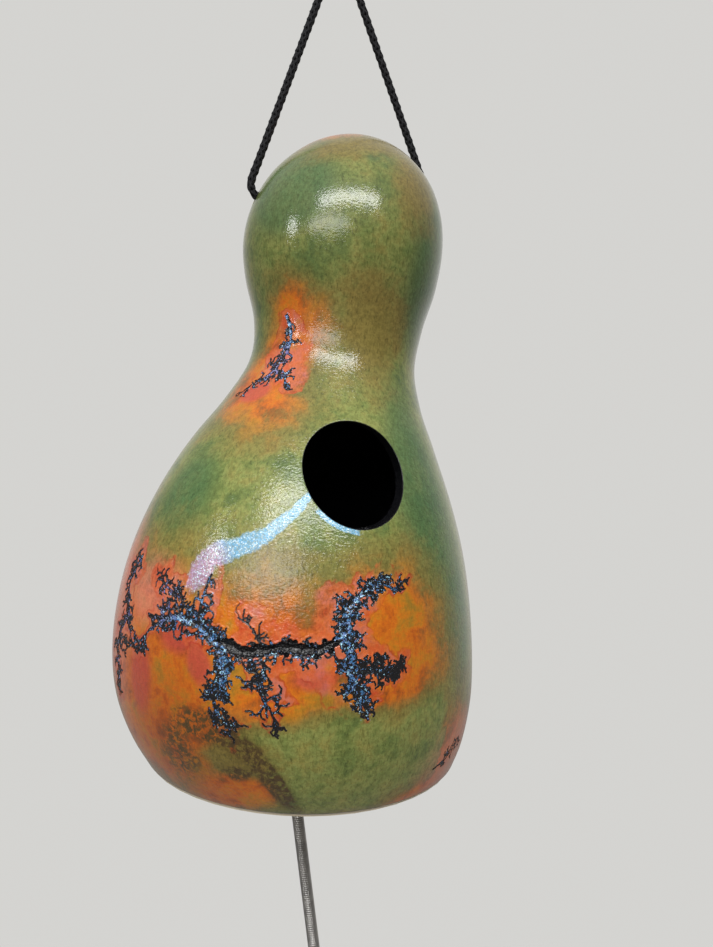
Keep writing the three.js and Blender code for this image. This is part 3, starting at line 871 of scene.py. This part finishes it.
# Red and pink dye gathers beside the burns, and dries to a crimson line where it stopped
burn = field("burn")
ragged = plus(burn, scaled(pores, 0.5, -0.25))
dye_reach = plus(burn, scaled(broad, 34.0, -15.5))
near_burn = times(fade(dye_reach, 3.4, 2.4), fade(burn, 9.0, 4.0))
near_burn = times(near_burn, fade(noise(48, 3.0, 0.6), 0.38, 0.50))
pink = ramp(middling, (
    (0.38, (0.520, 0.055, 0.012)), (0.50, (0.560, 0.115, 0.035)), (0.62, (0.520, 0.125, 0.105)),
))
skin = blend_colour(times(near_burn, 0.8), skin, pink)
tide = times(fade(dye_reach, 2.4, 3.1), fade(dye_reach, 3.9, 3.2))
tide = times(times(tide, fade(burn, 9.0, 4.0)), fade(middling, 0.42, 0.58))
skin = blend_colour(times(tide, 0.7), skin, (0.380, 0.022, 0.006, 1))

# Mould marks: brown scrolls from before the gourd was dyed, on a faintly soiled ground
mould_share = fade(plus(field("mould"), fray), 0.0, 0.4)
scrolls = fade(noise(420, 4.0, 0.7, 0.7), 0.38, 0.56)
skin = blend_colour(times(mould_share, scrolls), skin, (0.095, 0.060, 0.017, 1))
soiled = fade(field("mould"), -0.6, 0.3)
skin = blend_colour(times(soiled, 0.55), skin, (0.54, 0.40, 0.18, 1), "MULTIPLY")

# Grain, pores and specks of the skin, which the orange dye half covers
texture_share = scaled(fade(orange_at, 0.5, -0.1), 0.6, 0.4)
for mark, darkened in (
    (fade(grain, 0.48, 0.76), (0.64, 0.64, 0.54, 1)), (fade(pores, 0.52, 0.74), (0.60, 0.60, 0.50, 1)),
    (fade(noise(520, 4.0, 0.7), 0.60, 0.40), (0.74, 0.74, 0.66, 1)),
):
    skin = blend_colour(times(mark, texture_share), skin, darkened, "MULTIPLY")

# The bulb's skin is smoother than the belly's, and its colour is made a little darker
up_the_gourd = wire_up(tree, "ShaderNodeSeparateXYZ", {0: place.outputs["Object"]}).outputs["Z"]
bulb_share = fade(up_the_gourd, -0.235, -0.165)
skin = blend_colour(bulb_share, skin, (0.84, 0.82, 0.84, 1), "MULTIPLY")

# Pale blue mica wash in a band that turns lilac, with pale flakes in it that are painted glints. The
# burns are charred black, and the narrow ones are filled with mica dust that is partly spilled beside
# them; the dust's brightest cyan flakes are painted glints too.
flakes = wire_up(tree, "ShaderNodeTexVoronoi", {"Vector": place.outputs["Object"], "Scale": 2100.0})
flake_tones = wire_up(tree, "ShaderNodeSeparateColor", {0: flakes.outputs["Color"]})
flake_a, flake_b, flake_c = flake_tones.outputs
band_edge = plus(times(fray, 0.3), scaled(noise(450), 0.7, -0.35))
band_share = fade(plus(field("band"), band_edge), 0.0, 0.3)
band_wash_and_glints = blend_colour(fade(field("lilac"), -0.3, 0.3), (0.140, 0.420, 0.700, 1), (0.380, 0.240, 0.420, 1))
# The band's pale flakes are painted glints
band_wash_and_glints = blend_colour(fade(flake_c, 0.7, 0.9), band_wash_and_glints, (0.620, 0.800, 0.950, 1))
wash_share = times(band_share, scaled(flake_a, 0.55, 0.35))
skin = blend_colour(wash_share, skin, band_wash_and_glints)
charred = fade(ragged, 0.12, -0.10)
skin = blend_colour(charred, skin, (0.0035, 0.0035, 0.0045, 1))
bedded = times(fade(burn, -0.10, -0.45), field("mica"))
spilled = times(times(fade(burn, 1.3, 0.0), field("mica")), 0.14)
clumped = fade(noise(560, 3.0, 0.6), 0.42, 0.55)
amount = times(plus(times(bedded, 0.68), spilled), clumped)
dust = fade(reckon("SUBTRACT", amount, flake_b), 0.0, 0.05)
# Mica dust runs from dark blue to violet; its brightest cyan flakes are painted glints
mica_tone = scaled(noise(430, 3.0, 0.6), 2.2, -0.85)
mica = ramp(scaled(flake_c, 0.5, mica_tone), (
    (0.05, (0.010, 0.045, 0.140)), (0.35, (0.070, 0.260, 0.520)), (0.60, (0.140, 0.180, 0.420)),
    (0.78, (0.400, 0.740, 0.900)),
))
mica = blend_colour(times(rose_dye_and_reflection_share, 0.6), mica, (0.300, 0.170, 0.430, 1))
skin = blend_colour(dust, skin, mica)

# The sound hole's wall and the hollow are painted black, up to a ragged edge
painted = fade(plus(field("deep"), scaled(middling, 0.8, -0.4)), 0.35, 0.6)
wall_black = ramp(flake_a, ((0.6, (0.002, 0.002, 0.003)), (0.95, (0.010, 0.010, 0.012))))
skin = blend_colour(painted, skin, wall_black)
tree.links.new(skin, shader.inputs["Base Color"])
tree.links.new(times(dust, 0.4), shader.inputs["Metallic"])
tree.links.new(scaled(charred, 0.1, 0.42), shader.inputs["Roughness"])

# The varnish follows the skin's creases and pores; char and paint are rough
creases = noise(1000, 2.0, 0.55, stretch=(0.7, 0.7, 1.1))
varnish = plus(times(creases, 0.85), times(pores, 0.3))
varnish = times(varnish, scaled(bulb_share, -0.4, 1.0))
rough_spots = times(reckon("MAXIMUM", charred, painted), flake_a)
ripple = relief(plus(varnish, times(rough_spots, 4.0)), 0.8, 0.00022)
tree.links.new(ripple, shader.inputs["Coat Normal"])
gourd.data.materials.clear()
gourd.data.materials.append(gourd_finish)
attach(gourd, "gourd")
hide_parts("gourd_shell")


# Drum head: a thin film glued over the sawn base, with a hole in it for the spring. The frame's
# own disc has the right shape and gets its film finish here.
film_finish, tree, shader, place = new_finish(
    "head_film", Coat_Weight=0.3, Coat_Roughness=0.25, Specular_IOR_Level=0.4,
)
clouding = noise(45, 5.0, 0.6)
weave = noise(900, 3.0, 0.5, stretch=(1.0, 0.3, 1.0))
film = ramp(clouding, ((0.35, (0.520, 0.445, 0.320)), (0.65, (0.640, 0.570, 0.440))))
tree.links.new(film, shader.inputs["Base Color"])
tree.links.new(fade(weave, -0.4, 1.6), shader.inputs["Roughness"])
relief(weave, 0.3, 0.0001)
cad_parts["drum_head"].material_slots[0].material = film_finish


# Washer and pin: plain grey steel, on the inner face of the head. The pin lies across the washer
# and carries the eye of the spring. The spring's drawn wire gets its finish here too.
steels = {}
for name, colour, roughness in (
    ("washer_steel", (0.46, 0.47, 0.48), 0.35), ("pin_steel", (0.40, 0.41, 0.42), 0.30),
    ("spring_steel", (0.43, 0.42, 0.40), 0.32),
):
    steels[name], tree, shader, place = new_finish(name, Metallic=1.0)
    brushed = noise(1800, 2.0, 0.5, stretch=(1.0, 0.06, 1.0))
    tone = ramp(noise(240, 4.0, 0.6), ((0.35, tuple(0.72 * c for c in colour)), (0.60, colour)))
    tree.links.new(tone, shader.inputs["Base Color"])
    tree.links.new(scaled(brushed, 0.25, roughness - 0.1), shader.inputs["Roughness"])
    relief(brushed, 0.25, 0.00005)
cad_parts["head_washer"].material_slots[0].material = steels["washer_steel"]
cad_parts["spring_pin"].material_slots[0].material = steels["pin_steel"]


# Spring: one drawn steel wire, wound close, with an eye round the pin at its top. It leans a
# little as it leaves the head and its own weight bends it back towards plumb.
WASHER_THICKNESS = 1.2
WASHER_GAP = 0.3
PIN_RADIUS = 1.2
PIN_Z = RIM_Z + WASHER_THICKNESS + WASHER_GAP + PIN_RADIUS
SPRING_X = middle_at(0) - 0.044 * GOURD_WIDTH
COIL_RADIUS = 2.45
WIRE_RADIUS = 0.55
WIRE_PITCH = 1.13
SPRING_LENGTH = 260
SPRING_STRAIGHT = 130
SPRING_LEAN = math.radians(10.2)
TIP_LEAN = math.radians(3)
STEPS_A_TURN = 16
LINE_STEPS = 1040
EYE_TURN = 225
EYE_STEPS = 12


def spring_angle(s):
    """How far the spring's middle line leans, s below the pin."""
    t = np.clip((s - SPRING_STRAIGHT) / (SPRING_LENGTH - SPRING_STRAIGHT), 0, 1)
    return SPRING_LEAN + (TIP_LEAN - SPRING_LEAN) * t * t * (3 - 2 * t)


fine_s = np.linspace(0, SPRING_LENGTH, LINE_STEPS + 1)
fine_a = spring_angle(fine_s)
fine_step = fine_s[1] - fine_s[0]
mean_a = (fine_a[1:] + fine_a[:-1]) / 2
fine_x = SPRING_X + np.concatenate([[0], np.cumsum(np.sin(mean_a)) * fine_step])
fine_z = PIN_Z - np.concatenate([[0], np.cumsum(np.cos(mean_a)) * fine_step])


def spring_place(s, across, y):
    """A point beside the spring's middle line, s below the pin."""
    a = spring_angle(s)
    return (
        np.interp(s, fine_s, fine_x) + across * np.cos(a), y,
        np.interp(s, fine_s, fine_z) + across * np.sin(a),
    )


wire = []
for a in np.radians(np.linspace(EYE_TURN, 0, EYE_STEPS + 1)):
    x, _, z = spring_place(0, COIL_RADIUS * math.cos(a), 0)
    up = COIL_RADIUS * math.sin(a)
    wire.append((x - up * math.sin(SPRING_LEAN), 0, z + up * math.cos(SPRING_LEAN)))
# The wire leads down from the eye into the coil and takes the place of its first two steps
coil_start = COIL_RADIUS + 2.8 * WIRE_RADIUS
wire.append(spring_place(coil_start - 2.6 * WIRE_RADIUS, COIL_RADIUS, 0))
wire.append(spring_place(coil_start - 0.6 * WIRE_RADIUS, 0.97 * COIL_RADIUS, 0.25 * COIL_RADIUS))
turns_wound = (SPRING_LENGTH - coil_start - 2 * WIRE_RADIUS) / WIRE_PITCH
for i in range(2, int(turns_wound * STEPS_A_TURN)):
    a = 2 * math.pi * i / STEPS_A_TURN
    s = coil_start + WIRE_PITCH * i / STEPS_A_TURN
    wire.append(spring_place(s, COIL_RADIUS * math.cos(a), COIL_RADIUS * math.sin(a)))
spring = new_piece("spring_wound", *tube(wire, WIRE_RADIUS, 8))
spring.data.materials.append(steels["spring_steel"])
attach(spring, "spring")
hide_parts("spring")


# Room: a pale floor far below that fades into an even pale wall. A ceiling light and two windows
# on the camera's side shine in the varnish, and two more lamps only fill in.
WALL_GREY = (0.66, 0.655, 0.635, 1)
WALL_AZIMUTH = math.radians(30)
FLOOR_Z = -0.72
FLOOR_RADIUS = 2.6
FLOOR_SIDES = 64
floor_mesh = bpy.data.meshes.new("floor")
rim_points = [
    (FLOOR_RADIUS * math.cos(a), FLOOR_RADIUS * math.sin(a), FLOOR_Z)
    for a in np.linspace(0, 2 * math.pi, FLOOR_SIDES + 1)[:-1]
]
floor_mesh.from_pydata(rim_points, [], [tuple(range(FLOOR_SIDES))])
floor = bpy.data.objects.new("floor", floor_mesh)
bpy.context.scene.collection.objects.link(floor)
floor_finish, tree, shader, place = new_finish("floor_paint", Roughness=0.9)
rays = wire_up(tree, "ShaderNodeLightPath")
seen = reckon("MAXIMUM", rays.outputs["Is Camera Ray"], rays.outputs["Is Transmission Ray"])
seen = reckon("MAXIMUM", seen, rays.outputs["Is Glossy Ray"])
tree.links.new(blend_colour(seen, (0.25, 0.25, 0.24, 1), WALL_GREY), shader.inputs["Base Color"])
outward = wire_up(tree, "ShaderNodeVectorMath", {0: place.outputs["Object"]}, operation="LENGTH")
clear = wire_up(tree, "ShaderNodeBsdfTransparent")
faded = wire_up(tree, "ShaderNodeMixShader", {
    0: fade(outward.outputs["Value"], 0.25, 0.85), 1: shader.outputs[0], 2: clear.outputs[0],
})
tree.links.new(faded.outputs[0], tree.nodes["Material Output"].inputs["Surface"])
floor_mesh.materials.append(floor_finish)

world = bpy.data.worlds.new("room")
bpy.context.scene.world = world
world.use_nodes = True
tree = world.node_tree
rays = wire_up(tree, "ShaderNodeLightPath")
seen = reckon("MAXIMUM", rays.outputs["Is Camera Ray"], rays.outputs["Is Transmission Ray"])
# The camera sees the wall's even grey. What lights the gourd, and what the varnish mirrors, is a
# room with the pale wall behind the gourd, a dimmer rest, a pale ceiling and a brown floor.
looking = wire_up(tree, "ShaderNodeTexCoord")
way = wire_up(tree, "ShaderNodeSeparateXYZ", {0: looking.outputs["Generated"]})
behind = wire_up(tree, "ShaderNodeVectorMath", {
    0: looking.outputs["Generated"], 1: (math.sin(WALL_AZIMUTH), math.cos(WALL_AZIMUTH), 0),
}, operation="DOT_PRODUCT")
room = blend_colour(fade(way.outputs["Z"], 0.1, 0.9), (0.20, 0.20, 0.21, 1), (0.55, 0.55, 0.54, 1))
room = blend_colour(fade(behind.outputs["Value"], 0.35, 0.97), room, WALL_GREY)
room = blend_colour(fade(way.outputs["Z"], -0.05, -0.40), room, (0.30, 0.28, 0.26, 1))
backdrop = tree.nodes["Background"].inputs["Color"]
tree.links.new(blend_colour(seen, room, WALL_GREY), backdrop)
GOURD_MIDDLE = Vector((-0.005, 0, -0.24))


def lamp(name, azimuth, elevation, distance, size, watts, mirrored=True, shape="ELLIPSE"):
    """A flat light of that width and height that faces the gourd.

    Azimuth 0 is the camera's own side, and both angles are in degrees.
    """
    light = bpy.data.lights.new(name, "AREA")
    light.shape = shape
    light.size, light.size_y = size
    light.energy = watts
    swing = math.radians(azimuth) - CAMERA_AZIMUTH
    climb = math.radians(elevation)
    out = Vector((
        math.sin(swing) * math.cos(climb), -math.cos(swing) * math.cos(climb), math.sin(climb),
    ))
    made = bpy.data.objects.new(name, light)
    made.location = GOURD_MIDDLE + out * distance
    made.visible_glossy = mirrored
    made.rotation_euler = out.to_track_quat("Z", "Y").to_euler()
    bpy.context.scene.collection.objects.link(made)


lamp("ceiling_light", 6, 42, 1.3, size=(1.3, 0.25), watts=14, shape="RECTANGLE")
lamp("overhead", -45, 60, 1.4, size=(1.2, 1.2), watts=8, mirrored=False)
lamp("far_window", -14, 18, 1.6, size=(1.3, 0.42), watts=7.5)
lamp("rear_fill", 150, 35, 1.6, size=(1.8, 1.4), watts=10, mirrored=False)
lamp("window", -54, 19, 1.2, size=(0.16, 0.24), watts=1.6)
